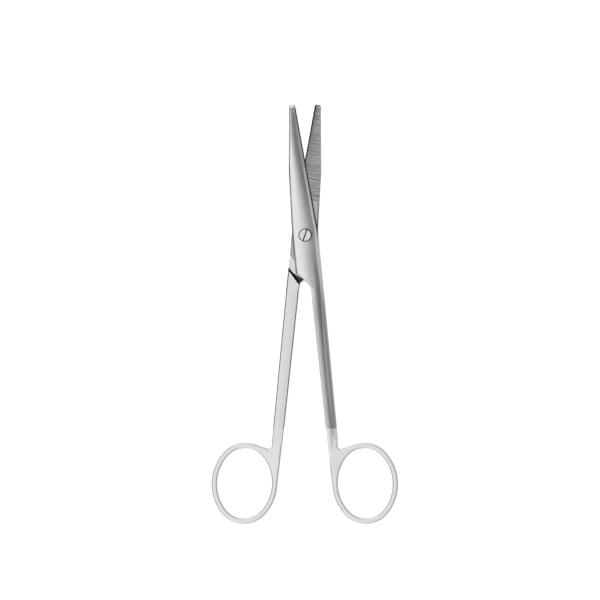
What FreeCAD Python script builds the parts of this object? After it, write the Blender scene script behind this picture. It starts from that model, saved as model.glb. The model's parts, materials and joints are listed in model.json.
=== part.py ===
# Straight dissecting scissors, 17 cm, half open, lying flat with the screw's head up.
# The tips point along +Y, the finger rings along -Y, and the screw stands along Z.
# Both halves are ground from the same forging. It is drawn as it lies with the scissors
# closed: the screw's axis at the origin, the flat lap face at Z = 0, the crowned outer
# face up, the cutting edge and the shank on the +X side.
import FreeCAD, Part
import math
import os
import Sketcher

# Driving dimensions, millimetres and degrees.
SIZES = [
    ("open_angle", 11.6, "angle between the two halves as they lie"),
    ("lap_gap", 0.05, "running gap between the two lap faces"),
    ("blade_length", 52.8, "screw to tip"),
    ("tip_edge", 1.3, "centre line to the cutting edge, at the tip"),
    ("tip_back", 1.1, "centre line to the back of the blade, at the tip"),
    ("tip_round", 0.95, "corner radius of the blunt tip"),
    ("belly_up", 26.0, "screw up to the belly of the blade's back"),
    ("belly_back", 3.95, "centre line to the back of the blade, at the belly"),
    ("box_edge", 5.3, "centre line to the cutting-edge side of the box"),
    ("box_back", 5.15, "centre line to the back of the box"),
    ("edge_start", 2.0, "screw up to where the cutting edge starts"),
    ("rim_round", 0.55, "rounding of the blade's and box's outer rim"),
    ("tip_thick", 1.25, "thickness at the tip"),
    ("tip_crown", 4.0, "crown radius at the tip"),
    ("tip_ridge", 0.65, "centre line back to the crown's ridge, at the tip"),
    ("tip_slope", 1.5, "length of the sloping facet at the tip"),
    ("tip_foot", 0.4, "height left under that facet"),
    ("belly_thick", 2.15, "thickness at the belly"),
    ("belly_crown", 9.0, "crown radius at the belly"),
    ("belly_ridge", 1.9, "centre line back to the crown's ridge, at the belly"),
    ("box_thick", 2.6, "thickness of one half at the screw"),
    ("box_crown", 20.0, "crown radius at the screw"),
    ("box_ridge", 1.8, "centre line back to the crown's ridge, at the screw"),
    ("heel_down", 16.0, "screw down to the crown's next station, beside the shoulder"),
    ("heel_crown", 16.0, "crown radius there"),
    ("heel_ridge", 1.6, "centre line back to the crown's ridge there"),
    ("root_crown", 6.0, "radius of the box's crown where it runs out over the shank"),
    ("root_sink", 0.12, "how far it runs out below the shank's ridge"),
    ("stop_down", 14.7, "screw down to the outer end of the shoulder, at the shank's flat face"),
    ("stop_lean", 41.5, "angle between shoulder and arm"),
    ("stop_gap", 0.1, "gap at the shoulder with the scissors closed"),
    ("stop_draft", 25.0, "lean of the shoulder's wall and of the heel that closes against it"),
    ("heel_round", 1.2, "radius at the start of the box's slanted corner"),
    ("throat_round", 2.0, "radius from the slanted corner into the shank"),
    ("relief_span", 4.2, "width of the sunk strip beside the shoulder"),
    ("relief_depth", 0.35, "depth of the sunk strip"),
    ("shank_lean", 0.33, "lean of the shank's inner side"),
    ("shank_thick", 2.35, "lap face up to the shank's crown, below the box"),
    ("shank_crown", 6.0, "crown radius of the shank"),
    ("shank_ridge", 0.9, "shank's inner side to the crown's ridge"),
    ("shank_depth", 2.0, "lap face down to the shank's flat face"),
    ("shank_round", 0.6, "rounding along the shank's flat face"),
    ("shank_end_width", 4.35, "width of the shank above the ring"),
    ("shank_end_thick", 2.0, "lap face up to the shank's crown, above the ring"),
    ("shank_end_depth", 1.85, "lap face down to the shank's flat face, above the ring"),
    ("taper_start", 26.0, "screw down to where the shank starts to taper"),
    ("merge_start", 80.0, "screw down to where the shank starts to sink into the ring"),
    ("merge_length", 17.0, "length over which it sinks"),
    ("ring_down", 101.7, "screw down to the middle of the finger ring"),
    ("ring_gap", 0.55, "centre line to the ring"),
    ("ring_wide", 21.5, "width of the finger opening"),
    ("ring_long", 27.7, "length of the finger opening"),
    ("ring_end_radius", 9.0, "radius of the opening's ends"),
    ("ring_band", 2.75, "width of the ring's band"),
    ("ring_thick", 3.4, "thickness of the ring"),
    ("ring_round", 1.05, "rounding of the ring's band"),
    ("ring_tilt", 3.0, "outward lean of the ring"),
    ("web_lean", 12.0, "fall of the web from the ring towards the notch"),
    ("notch_round", 0.8, "radius in the notch between shank and ring"),
    ("hollow_up", 14.0, "screw up to where the hollow grind starts"),
    ("hollow_depth", 0.15, "depth of the hollow grind"),
    ("land_width", 0.4, "flat land beside the cutting edge and the back"),
    ("bevel_width", 1.45, "width of the bevel along the cutting edge, the box and the shank"),
    ("bevel_land", 0.3, "height left under the bevel at the cutting edge"),
    ("bevel_foot", 0.55, "height left under it beside the box and the shank"),
    ("bevel_runout", 4.0, "length over which it runs out above the ring"),
    ("head_radius", 2.5, "radius of the screw's head"),
    ("head_thick", 1.0, "thickness of the screw's head"),
    ("head_sink", 0.25, "crown's ridge down to the top of the screw's head"),
    ("head_chamfer", 0.22, "chamfer round the screw's head and round its seat"),
    ("shaft_radius", 1.5, "radius of the screw's shaft"),
    ("screw_fit", 0.05, "running clearance round the screw"),
    ("slot_width", 0.42, "width of the screwdriver slot"),
    ("slot_depth", 0.5, "depth of the screwdriver slot"),
    ("slot_turn", 19.0, "turn of the slot away from the long axis"),
]


def fill_sheet(doc):
    sheet = doc.addObject("Spreadsheet::Sheet", "Sizes")
    for row, (alias, value, meaning) in enumerate(SIZES, start=1):
        sheet.set(f"A{row}", meaning)
        sheet.set(f"B{row}", str(value))
        sheet.setAlias(f"B{row}", alias)
    doc.recompute()
    return sheet


def new_body(doc, name):
    return doc.addObject("PartDesign::Body", name)


def origin_plane(body, role):
    return next(plane for plane in body.Origin.OriginFeatures if plane.Role == role)


def new_sketch(body, name, role="XY_Plane", height="0", turn="0"):
    """A sketch parallel to an origin plane, moved along that plane's normal and turned in it."""
    sketch = body.newObject("Sketcher::SketchObject", name)
    sketch.AttachmentSupport = [(origin_plane(body, role), "")]
    sketch.MapMode = "FlatFace"
    sketch.AttachmentOffset = FreeCAD.Placement(FreeCAD.Vector(), FreeCAD.Rotation(FreeCAD.Vector(0, 0, 1), 1))
    sketch.setExpression("AttachmentOffset.Base.z", f"({height}) * 1 mm")
    sketch.setExpression("AttachmentOffset.Rotation.Angle", f"({turn}) * 1 deg")
    return sketch


def value_of(sketch, text):
    return float(sketch.evalExpression(text))


def tie(sketch, constraint, text):
    index = sketch.addConstraint(constraint)
    sketch.setExpression(f"Constraints[{index}]", text)


def pin(sketch, shape, end, point):
    """Ties one end of a line or arc to two expressions, its distances from the sketch's axes."""
    for kind, text in zip(("DistanceX", "DistanceY"), point):
        tie(sketch, Sketcher.Constraint(kind, shape, end, value_of(sketch, text)), text)


def add_polygon(sketch, points):
    """A closed outline of straight edges with every corner pinned."""
    spots = [FreeCAD.Vector(value_of(sketch, x), value_of(sketch, y), 0) for x, y in points]
    first = sketch.GeometryCount
    for start, stop in zip(spots, spots[1:] + spots[:1]):
        sketch.addGeometry(Part.LineSegment(start, stop), False)
    count = len(points)
    for i in range(count):
        after = (i + 1) % count
        sketch.addConstraint(Sketcher.Constraint("Coincident", first + i, 2, first + after, 1))
    for i, point in enumerate(points):
        pin(sketch, first + i, 1, point)


def crown_height(side, ridge, top, radius):
    """Height of a crowned face at a distance from the centre line."""
    return f"(({top}) - ({radius}) + sqrt(({radius}) ^ 2 - (({side}) - ({ridge})) ^ 2))"


def add_crown(sketch, left, right, ridge, top, radius, cap):
    """The air above a crowned face: an arc over the ridge, closed by upright sides and a cap."""
    centre = (ridge, f"({top}) - ({radius})")
    foot = [crown_height(side, ridge, top, radius) for side in (left, right)]
    corners = [(left, foot[0]), (right, foot[1]), (right, cap), (left, cap)]
    spots = [FreeCAD.Vector(value_of(sketch, x), value_of(sketch, y), 0) for x, y in corners]
    crest = FreeCAD.Vector(value_of(sketch, ridge), value_of(sketch, top), 0)
    sketch.addGeometry(Part.Arc(spots[0], crest, spots[1]), False)
    for start, stop in ((1, 2), (2, 3), (3, 0)):
        sketch.addGeometry(Part.LineSegment(spots[start], spots[stop]), False)
    arc_left, arc_right = (1, 2) if sketch.getPoint(0, 1).x < sketch.getPoint(0, 2).x else (2, 1)
    sketch.addConstraint(Sketcher.Constraint("Coincident", 0, arc_right, 1, 1))
    sketch.addConstraint(Sketcher.Constraint("Coincident", 1, 2, 2, 1))
    sketch.addConstraint(Sketcher.Constraint("Coincident", 2, 2, 3, 1))
    sketch.addConstraint(Sketcher.Constraint("Coincident", 3, 2, 0, arc_left))
    pin(sketch, 0, 3, centre)
    tie(sketch, Sketcher.Constraint("Radius", 0, value_of(sketch, radius)), radius)
    tie(sketch, Sketcher.Constraint("DistanceX", 0, arc_left, spots[0].x), left)
    tie(sketch, Sketcher.Constraint("DistanceX", 0, arc_right, spots[1].x), right)
    pin(sketch, 2, 1, corners[2])
    pin(sketch, 3, 1, corners[3])


# The opening's outline is four arcs: its sides are struck with a radius worked out from its
# width, its length and the radius of its ends.
END_OFFSET = "(Sizes.ring_long / 2 - Sizes.ring_end_radius)"
SIDE_RADIUS = f"(({END_OFFSET} ^ 2 + (Sizes.ring_wide / 2) ^ 2 - Sizes.ring_end_radius ^ 2) / (Sizes.ring_wide - 2 * Sizes.ring_end_radius))"
SIDE_OFFSET = f"({SIDE_RADIUS} - Sizes.ring_wide / 2)"
TILT = "(Sizes.ring_tilt * 1 deg)"
LEAN = "(Sizes.shank_lean * 1 deg)"

# The ring's centre puts its inmost point ring_gap from the centre line.
RING_X = f"(Sizes.ring_gap + {SIDE_RADIUS} + Sizes.ring_band - {SIDE_OFFSET} * cos({TILT}))"
RING_Y = "(-Sizes.ring_down)"

# The shank's inner side is a line tangent to the ring, leaning by shank_lean.
TOUCH_X = f"(Sizes.ring_gap + ({SIDE_RADIUS} + Sizes.ring_band) * (1 - cos({LEAN})))"
TOUCH_Y = f"({RING_Y} - {SIDE_OFFSET} * sin({TILT}) - ({SIDE_RADIUS} + Sizes.ring_band) * sin({LEAN}))"


def inner_side(y):
    return f"({TOUCH_X} - (({y}) - {TOUCH_Y}) * tan({LEAN}))"


def shank_ridge(y):
    return f"({inner_side(y)} + Sizes.shank_ridge)"


# The web's top is a line tangent to the ring's upper end.
WEB = "(Sizes.web_lean * 1 deg)"
WEB_X = f"({RING_X} + {END_OFFSET} * sin({TILT}) - (Sizes.ring_end_radius + Sizes.ring_band) * sin({WEB}))"
WEB_Y = f"({RING_Y} + {END_OFFSET} * cos({TILT}) + (Sizes.ring_end_radius + Sizes.ring_band) * cos({WEB}))"
NOTCH_X = "(Sizes.ring_gap + Sizes.shank_end_width)"
NOTCH_Y = f"({WEB_Y} - ({WEB_X} - {NOTCH_X}) * tan({WEB}))"

# The shoulder runs from the shank's outer side down to its inner side.
FALL = "tan(90 deg - Sizes.stop_lean * 1 deg)"
DRAFT = "(Sizes.shank_depth * tan(Sizes.stop_draft * 1 deg))"
LAP = "Sizes.lap_gap / 2"

# Places that only cuts and joints need: past the ends, the sides and the top of the metal,
# and inside it where one blank runs into the next.
PAST = "1"
WIDE = "(Sizes.box_edge * 1.6)"
CAP = "(Sizes.box_thick * 2.5)"
THROUGH = "(Sizes.box_edge * 4)"
BOX_END = "(-Sizes.taper_start + 2)"
ROOT_Y = f"({BOX_END} - 3)"
SHANK_TOP = "(-Sizes.stop_down * 0.8)"
FLAT_START = "(-Sizes.taper_start * 1.4)"


def shoulder_at(inward, shift="0"):
    """Place along the arm of a line parallel to the shoulder, at a distance in from the shank's
    outer side, moved square to itself towards the screw by `shift`."""
    return f"(-Sizes.stop_down - ({inward}) * {FALL} + ({shift}) / sin(Sizes.stop_lean * 1 deg))"


# The box's slanted corner meets the shank's inner side at the throat.
THROAT_Y = (
    f"(({shoulder_at('Sizes.box_edge', 'Sizes.stop_gap')} - {FALL} * ({TOUCH_X} + {TOUCH_Y} * tan({LEAN})))"
    f" / (1 - {FALL} * tan({LEAN})))"
)


def edges_where(shape, wanted):
    """Names of the edges that a test picks, for a fillet."""
    return [f"Edge{i}" for i, edge in enumerate(shape.Edges, start=1) if wanted(edge)]


# How near two places are to count as one, and how level a face that counts as upright.
SAME_PLACE = 0.01
LEVEL = 0.05


def is_upright(edge):
    box = edge.BoundBox
    return max(box.XLength, box.YLength) < SAME_PLACE / 100


def upright_at(sketch, shape, spots):
    """The upright edges that stand on given points of a plan."""
    places = [FreeCAD.Vector(value_of(sketch, x), value_of(sketch, y), 0) for x, y in spots]

    def wanted(edge):
        foot = FreeCAD.Vector(edge.BoundBox.XMin, edge.BoundBox.YMin, 0)
        return is_upright(edge) and any(foot.distanceToPoint(place) < SAME_PLACE for place in places)

    return edges_where(shape, wanted)


def faces_beside(shape, edge):
    """How far up each of the two faces beside an edge looks, at the edge's middle."""
    middle = edge.valueAt((edge.FirstParameter + edge.LastParameter) / 2)
    looks = []
    for face in shape.ancestorsOfType(edge, Part.Face):
        looks.append(face.normalAt(*face.Surface.parameter(middle)).z)
    return sorted(looks, key=abs)


def rim_edges(shape, upper, lower):
    """The edges between an upright wall and the upper or lower face."""
    def wanted(edge):
        looks = faces_beside(shape, edge)
        if len(looks) < 2 or abs(looks[0]) > LEVEL:
            return False
        return (upper and looks[1] > 0.5) or (lower and looks[1] < -0.5)

    return edges_where(shape, wanted)


def round_edges(body, name, names, radius):
    base = body.Tip
    fillet = body.newObject("PartDesign::Fillet", name)
    fillet.Base = (base, names)
    fillet.setExpression("Radius", f"{radius} * 1 mm")
    body.Document.recompute()
    return fillet


def pad(body, name, sketch, up, down):
    """Pads a plan from `down` below its plane to `up` above it."""
    feature = body.newObject("PartDesign::Pad", name)
    feature.Profile = sketch
    feature.SideType = "Two sides"
    feature.setExpression("Length", f"({up}) * 1 mm")
    feature.setExpression("Length2", f"({down}) * 1 mm")
    body.Document.recompute()
    return feature


def pocket(body, name, sketch, depth, symmetric=False):
    feature = body.newObject("PartDesign::Pocket", name)
    feature.Profile = sketch
    feature.setExpression("Length", f"({depth}) * 1 mm")
    feature.Midplane = symmetric
    body.Document.recompute()
    return feature


def cut_loft(body, name, sections, ruled=False):
    """Cuts a loft between sections. A ruled one keeps straight lines from section to section."""
    feature = body.newObject("PartDesign::SubtractiveLoft", name)
    feature.Profile = sections[0]
    feature.Sections = sections[1:]
    feature.Ruled = ruled
    body.Document.recompute()


def crown_cut(body, name, stations):
    """Grinds a crowned face. A station is its place along the arm, the sides, the ridge, the
    height of the ridge and the crown's radius."""
    sections = []
    for i, (along, left, right, ridge, top, radius) in enumerate(stations, start=1):
        sketch = new_sketch(body, f"{name}_section_{i}", "XZ_Plane", f"-({along})")
        add_crown(sketch, left, right, ridge, top, radius, CAP)
        sections.append(sketch)
    body.Document.recompute()
    cut_loft(body, name, sections)


def back_at(along):
    """How far the blade's back is from the centre line, between the screw and the belly."""
    return f"(Sizes.box_back + (Sizes.belly_back - Sizes.box_back) * ({along}) / Sizes.belly_up)"


def edge_at(along):
    """How far the cutting edge is from the centre line."""
    return (
        "(Sizes.box_edge + (Sizes.tip_edge - Sizes.box_edge)"
        f" * (({along}) - Sizes.edge_start) / (Sizes.blade_length - Sizes.edge_start))"
    )


BLANK_UP = "(Sizes.box_thick * 1.15)"

# The crown's stations over blade and box: place along the arm, ridge, height and radius.
TIP_CROWN = ("Sizes.blade_length", "-Sizes.tip_ridge", "Sizes.tip_thick", "Sizes.tip_crown")
BELLY_CROWN = ("Sizes.belly_up", "-Sizes.belly_ridge", "Sizes.belly_thick", "Sizes.belly_crown")
BOX_CROWN = ("0", "-Sizes.box_ridge", "Sizes.box_thick", "Sizes.box_crown")
HEEL_CROWN = ("-Sizes.heel_down", "-Sizes.heel_ridge", "Sizes.box_thick", "Sizes.heel_crown")
ROOT_CROWN = (ROOT_Y, shank_ridge(ROOT_Y), "Sizes.shank_thick - Sizes.root_sink", "Sizes.root_crown")

# And over the shank, down to where the bevel starts to run out.
TAPER_Y = "(-Sizes.taper_start)"
RUNOUT_Y = f"({NOTCH_Y} + Sizes.bevel_runout)"
TAPER_CROWN = (TAPER_Y, shank_ridge(TAPER_Y), "Sizes.shank_thick", "Sizes.shank_crown")
RUNOUT_CROWN = (RUNOUT_Y, shank_ridge(RUNOUT_Y), "Sizes.shank_end_thick", "Sizes.shank_crown")


def blade_blank(doc):
    """Blade and box: the plan struck out, the outer face ground to a crown, the rim rounded."""
    body = new_body(doc, "blade_blank")
    plan = new_sketch(body, "blade_plan")
    tip_right = ("Sizes.tip_edge", "Sizes.blade_length")
    tip_left = ("-Sizes.tip_back", "Sizes.blade_length")
    heel = ("-Sizes.box_back", shoulder_at("Sizes.box_edge - Sizes.box_back", "Sizes.stop_gap"))
    throat = (inner_side(THROAT_Y), THROAT_Y)
    throat_end = f"({THROAT_Y} - Sizes.throat_round / 2)"
    add_polygon(plan, [
        tip_right,
        tip_left,
        ("-Sizes.belly_back", "Sizes.belly_up"),
        ("-Sizes.box_back", "0"),
        heel,
        throat,
        (inner_side(throat_end), throat_end),
        ("Sizes.box_edge / 4", BOX_END),
        ("Sizes.box_edge", BOX_END),
        ("Sizes.box_edge", "Sizes.edge_start"),
    ])
    blank = pad(body, "blade_pad", plan, BLANK_UP, "Sizes.shank_depth")
    tips = upright_at(plan, blank.Shape, [tip_right, tip_left])
    rounded = round_edges(body, "tip_rounding", tips, "Sizes.tip_round")
    heels = upright_at(plan, rounded.Shape, [heel])
    rounded = round_edges(body, "heel_rounding", heels, "Sizes.heel_round")
    throats = upright_at(plan, rounded.Shape, [throat])
    round_edges(body, "throat_rounding", throats, "Sizes.throat_round")
    stations = []
    for (along, *crown), left, right in (
        ((f"{TIP_CROWN[0]} + {PAST}", *TIP_CROWN[1:]), "-Sizes.tip_edge * 2", "Sizes.tip_edge * 2"),
        (BELLY_CROWN, "-Sizes.belly_back * 1.5", "Sizes.belly_back * 1.5"),
        (BOX_CROWN, "-Sizes.box_edge * 1.4", "Sizes.box_edge * 1.4"),
        (HEEL_CROWN, "-Sizes.box_edge * 1.4", "Sizes.box_edge * 1.4"),
        (ROOT_CROWN, "-Sizes.box_edge * 0.5", "Sizes.box_edge * 1.1"),
    ):
        stations.append((along, left, right, *crown))
    crown_cut(body, "blade_crown", stations)
    round_edges(body, "rim_rounding", rim_edges(body.Tip.Shape, True, False), "Sizes.rim_round")
    grind_tip(body)
    undercut_heel(body)
    return body


def grind_tip(body):
    """Grinds the small facet that slopes down to the end of the tip."""
    side = new_sketch(body, "tip_side", "YZ_Plane")
    start = "Sizes.blade_length - Sizes.tip_slope"
    rise = "(Sizes.tip_thick - Sizes.tip_foot)"
    add_polygon(side, [
        (start, "Sizes.tip_thick"),
        ("Sizes.blade_length + Sizes.tip_slope", f"Sizes.tip_foot - {rise}"),
        ("Sizes.blade_length + Sizes.tip_slope", "Sizes.tip_thick * 2"),
        (start, "Sizes.tip_thick * 2"),
    ])
    pocket(body, "tip_facet", side, THROUGH, symmetric=True)


def undercut_heel(body):
    """Leans the heel's end wall under, to close flush against the other half's shoulder."""
    back = f"(-{WIDE})"
    front = inner_side(THROAT_Y)
    clear = "Sizes.stop_gap - Sizes.relief_span"
    sections = []
    for i, (height, lean) in enumerate((("0", DRAFT), ("Sizes.shank_depth", "0")), start=1):
        plan = new_sketch(body, f"heel_section_{i}", height=height)
        wall = f"Sizes.stop_gap + {lean}"
        add_polygon(plan, [
            (back, shoulder_at(f"Sizes.box_edge + {back}", wall)),
            (front, shoulder_at(f"Sizes.box_edge + {front}", wall)),
            (front, shoulder_at(f"Sizes.box_edge + {front}", clear)),
            (back, shoulder_at(f"Sizes.box_edge + {back}", clear)),
        ])
        sections.append(plan)
    body.Document.recompute()
    cut_loft(body, "heel_undercut", sections, ruled=True)


MERGE_Y = "(-Sizes.merge_start)"
MERGE_END = "(-Sizes.merge_start - Sizes.merge_length)"


def outer_side(along):
    """The shank's outer side, from where its taper starts to the notch."""
    return (
        f"(Sizes.box_edge - (Sizes.box_edge - {NOTCH_X})"
        f" * (-({along}) - Sizes.taper_start) / (-{NOTCH_Y} - Sizes.taper_start))"
    )


def shank_bar(doc):
    """The shank: a half-round bar that starts inside the box and sinks into the ring."""
    body = new_body(doc, "shank_bar")
    plan = new_sketch(body, "shank_plan")
    add_polygon(plan, [
        (inner_side(SHANK_TOP), SHANK_TOP),
        (inner_side(MERGE_END), MERGE_END),
        ("Sizes.box_edge / 2", MERGE_END),
        (NOTCH_X, NOTCH_Y),
        ("Sizes.box_edge", "-Sizes.taper_start"),
        ("Sizes.box_edge", SHANK_TOP),
    ])
    pad(body, "shank_pad", plan, BLANK_UP, "Sizes.shank_depth")
    sunk = "Sizes.ring_thick / 2 - Sizes.ring_round / 2"
    stations = []
    for along, top in (
        (f"{SHANK_TOP} + {PAST}", "Sizes.shank_thick"),
        ("-Sizes.taper_start", "Sizes.shank_thick"),
        (MERGE_Y, "Sizes.shank_end_thick"),
        (f"{MERGE_END} - {PAST}", sunk),
    ):
        ridge = shank_ridge(along)
        left = f"{ridge} - Sizes.shank_crown / 2"
        right = f"{ridge} + Sizes.shank_crown * 0.9"
        stations.append((along, left, right, ridge, top, "Sizes.shank_crown"))
    crown_cut(body, "shank_crown_cut", stations)
    side = new_sketch(body, "shank_side", "YZ_Plane")
    below = "-Sizes.shank_depth * 2"
    end = f"{MERGE_END} - {PAST}"
    add_polygon(side, [
        (FLAT_START, "-Sizes.shank_depth"),
        (MERGE_Y, "-Sizes.shank_end_depth"),
        (MERGE_END, f"-({sunk})"),
        (end, f"-({sunk})"),
        (end, below),
        (FLAT_START, below),
    ])
    flat = pocket(body, "shank_flat", side, THROUGH, symmetric=True)
    round_edges(body, "shank_rounding", rim_edges(flat.Shape, False, True), "Sizes.shank_round")
    return body


def add_oval(sketch, grow):
    """Four tangent arcs about the ring's centre; `grow` widens the opening's outline."""
    end = value_of(sketch, f"Sizes.ring_end_radius + {grow}")
    side = value_of(sketch, f"{SIDE_RADIUS} + {grow}")
    up = value_of(sketch, END_OFFSET)
    aside = value_of(sketch, SIDE_OFFSET)
    turn = math.atan2(up, aside)
    arcs = [
        ((0, up), end, turn, math.pi - turn),
        ((aside, 0), side, math.pi - turn, math.pi + turn),
        ((0, -up), end, math.pi + turn, 2 * math.pi - turn),
        ((-aside, 0), side, -turn, turn),
    ]
    axis = FreeCAD.Vector(0, 0, 1)
    for (x, y), radius, start, stop in arcs:
        circle = Part.Circle(FreeCAD.Vector(x, y, 0), axis, radius)
        sketch.addGeometry(Part.ArcOfCircle(circle, start, stop), False)
    for i in range(4):
        sketch.addConstraint(Sketcher.Constraint("Tangent", i, 2, (i + 1) % 4, 1))
    for i, centre in enumerate([("0", END_OFFSET), (SIDE_OFFSET, "0"), ("0", f"-{END_OFFSET}")]):
        pin(sketch, i, 3, centre)
    tie(sketch, Sketcher.Constraint("DistanceX", 3, 3, -aside), f"-{SIDE_OFFSET}")
    tie(sketch, Sketcher.Constraint("Radius", 0, end), f"Sizes.ring_end_radius + {grow}")


def ring_sketch(body, name, grow):
    sketch = new_sketch(body, name, turn="-Sizes.ring_tilt")
    sketch.setExpression("AttachmentOffset.Base.x", f"{RING_X} * 1 mm")
    sketch.setExpression("AttachmentOffset.Base.y", f"{RING_Y} * 1 mm")
    body.Document.recompute()
    add_oval(sketch, grow)
    return sketch


def ring_blank(doc):
    """The finger ring with the web that joins it to the shank, rounded all over."""
    body = new_body(doc, "ring_blank")
    half = "Sizes.ring_thick / 2"
    pad(body, "ring_pad", ring_sketch(body, "ring_plan", "Sizes.ring_band"), half, half)
    web = new_sketch(body, "web_plan")
    notch = (NOTCH_X, NOTCH_Y)
    add_polygon(web, [
        (inner_side(MERGE_Y), MERGE_Y),
        (TOUCH_X, TOUCH_Y),
        (RING_X, RING_Y),
        (WEB_X, WEB_Y),
        notch,
        (outer_side(MERGE_Y), MERGE_Y),
    ])
    pad(body, "web_pad", web, half, half)
    opening = ring_sketch(body, "opening_plan", "0")
    pierced = pocket(body, "finger_opening", opening, THROUGH, symmetric=True)
    notches = upright_at(web, pierced.Shape, [notch])
    rounded = round_edges(body, "notch_rounding", notches, "Sizes.notch_round")
    round_edges(body, "band_rounding", rim_edges(rounded.Shape, True, True), "Sizes.ring_round")
    return body


def forge(doc):
    """The forging that both halves are ground from."""
    forging = doc.addObject("Part::MultiFuse", "forging")
    forging.Shapes = [blade_blank(doc), shank_bar(doc), ring_blank(doc)]
    forging.Refine = True
    doc.recompute()
    return forging


def cut_lap(body):
    """Takes the blade and the box down to half thickness. What is left of the shank's full
    thickness ends in the shoulder that the other half closes against, and it keeps to its own
    side of the throat."""
    plan = new_sketch(body, "lap_plan", height=LAP)
    top = "Sizes.blade_length * 1.2"
    add_polygon(plan, [
        (f"-{WIDE}", top),
        (f"-{WIDE}", shoulder_at(f"Sizes.box_edge + {WIDE}", DRAFT)),
        (WIDE, shoulder_at(f"Sizes.box_edge - {WIDE}", DRAFT)),
        (WIDE, top),
    ])
    depth = "Sizes.shank_depth * 1.5"
    lap = pocket(body, "lap_cut", plan, depth)
    lap.setExpression("TaperAngle", "Sizes.stop_draft * 1 deg")
    side = new_sketch(body, "throat_plan", height=LAP)
    inner = inner_side(THROAT_Y)
    below = f"{THROAT_Y} - Sizes.throat_round"
    above = f"{THROAT_Y} + {DRAFT} * 2"
    add_polygon(side, [
        (f"-{WIDE}", above),
        (f"-{WIDE}", below),
        (inner, below),
        (inner, above),
    ])
    pocket(body, "throat_cut", side, depth)


def cut_relief(body):
    """Sinks a strip of the lap face beside the shoulder, so that the lap bears on the box."""
    plan = new_sketch(body, "relief_plan", height=f"{LAP} + Sizes.relief_depth")
    add_polygon(plan, [
        (f"-{WIDE}", shoulder_at(f"Sizes.box_edge + {WIDE}", "Sizes.relief_span")),
        (f"-{WIDE}", shoulder_at(f"Sizes.box_edge + {WIDE}", DRAFT)),
        (WIDE, shoulder_at(f"Sizes.box_edge - {WIDE}", DRAFT)),
        (WIDE, shoulder_at(f"Sizes.box_edge - {WIDE}", "Sizes.relief_span")),
    ])
    pocket(body, "relief_cut", plan, "Sizes.relief_depth")


def grind_hollow(body):
    """Grinds the blade's inner face slightly hollow between the cutting edge and the back."""
    sections = []
    stations = [
        ("Sizes.hollow_up", back_at("Sizes.hollow_up"), edge_at("Sizes.hollow_up")),
        ("Sizes.belly_up", "Sizes.belly_back", edge_at("Sizes.belly_up")),
        (f"Sizes.blade_length + {PAST}", "Sizes.tip_back", "Sizes.tip_edge"),
    ]
    for i, (along, back, edge) in enumerate(stations, start=1):
        sketch = new_sketch(body, f"hollow_section_{i}", "XZ_Plane", f"-({along})")
        left = f"(Sizes.land_width - {back})"
        right = f"({edge} - Sizes.land_width)"
        middle = f"(({left} + {right}) / 2)"
        radius = f"((({right} - {left}) / 2) ^ 2 + Sizes.hollow_depth ^ 2) / (2 * Sizes.hollow_depth)"
        add_crown(sketch, left, right, middle, f"{LAP} + Sizes.hollow_depth", radius, "-Sizes.hollow_depth * 4")
        sections.append(sketch)
    body.Document.recompute()
    cut_loft(body, "hollow_grind", sections)


def grind_bevel(body):
    """Grinds the bevel along the cutting edge, the side of the box and the shank. It runs out
    above the ring."""
    def rise(edge, foot, crown):
        return f"({crown_height(f'{edge} - Sizes.bevel_width', *crown)} - {foot})"

    stations = []
    for along, edge, foot, crown in (
        (f"{TIP_CROWN[0]} + {PAST}", "Sizes.tip_edge", "Sizes.bevel_land", TIP_CROWN[1:]),
        (BELLY_CROWN[0], edge_at(BELLY_CROWN[0]), "Sizes.bevel_land", BELLY_CROWN[1:]),
        ("Sizes.edge_start", "Sizes.box_edge", "Sizes.bevel_foot", BOX_CROWN[1:]),
        (HEEL_CROWN[0], "Sizes.box_edge", "Sizes.bevel_foot", HEEL_CROWN[1:]),
        (TAPER_CROWN[0], "Sizes.box_edge", "Sizes.bevel_foot", TAPER_CROWN[1:]),
        (RUNOUT_CROWN[0], outer_side(RUNOUT_CROWN[0]), "Sizes.bevel_foot", RUNOUT_CROWN[1:]),
    ):
        stations.append((along, edge, foot, rise(edge, foot, crown)))
    below = f"({NOTCH_Y} - Sizes.bevel_runout / 4)"
    stations.append((below, outer_side(below), "Sizes.shank_end_thick", "Sizes.bevel_width"))
    sections = []
    below_foot, past_crown = "0.3", "1.6"
    for i, (along, edge, foot, height) in enumerate(stations, start=1):
        sketch = new_sketch(body, f"bevel_section_{i}", "XZ_Plane", f"-({along})")
        outer = f"{edge} + Sizes.bevel_width * {below_foot}"
        top = f"{foot} + {height} * {past_crown}"
        add_polygon(sketch, [
            (outer, f"{foot} - {height} * {below_foot}"),
            (outer, top),
            (f"{edge} - Sizes.bevel_width * {past_crown}", top),
        ])
        sections.append(sketch)
    body.Document.recompute()
    cut_loft(body, "bevel_grind", sections, ruled=True)


def drill(body, name, radius, top, depth):
    plan = new_sketch(body, f"{name}_plan", height=top)
    plan.addGeometry(Part.Circle(FreeCAD.Vector(), FreeCAD.Vector(0, 0, 1), value_of(plan, radius)), False)
    plan.addConstraint(Sketcher.Constraint("Coincident", 0, 3, -1, 1))
    tie(plan, Sketcher.Constraint("Radius", 0, value_of(plan, radius)), radius)
    pocket(body, name, plan, depth)
    return plan


HEAD_TOP = "(Sizes.box_thick - Sizes.head_sink)"
HEAD_SEAT = f"({HEAD_TOP} - Sizes.head_thick)"
ABOVE = "(Sizes.box_thick * 2)"


def half(doc, name, forging):
    """One half: the forging with its lap, its ground faces and its screw hole."""
    body = new_body(doc, name)
    body.BaseFeature = forging
    doc.recompute()
    cut_lap(body)
    cut_relief(body)
    grind_hollow(body)
    grind_bevel(body)
    return body


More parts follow.
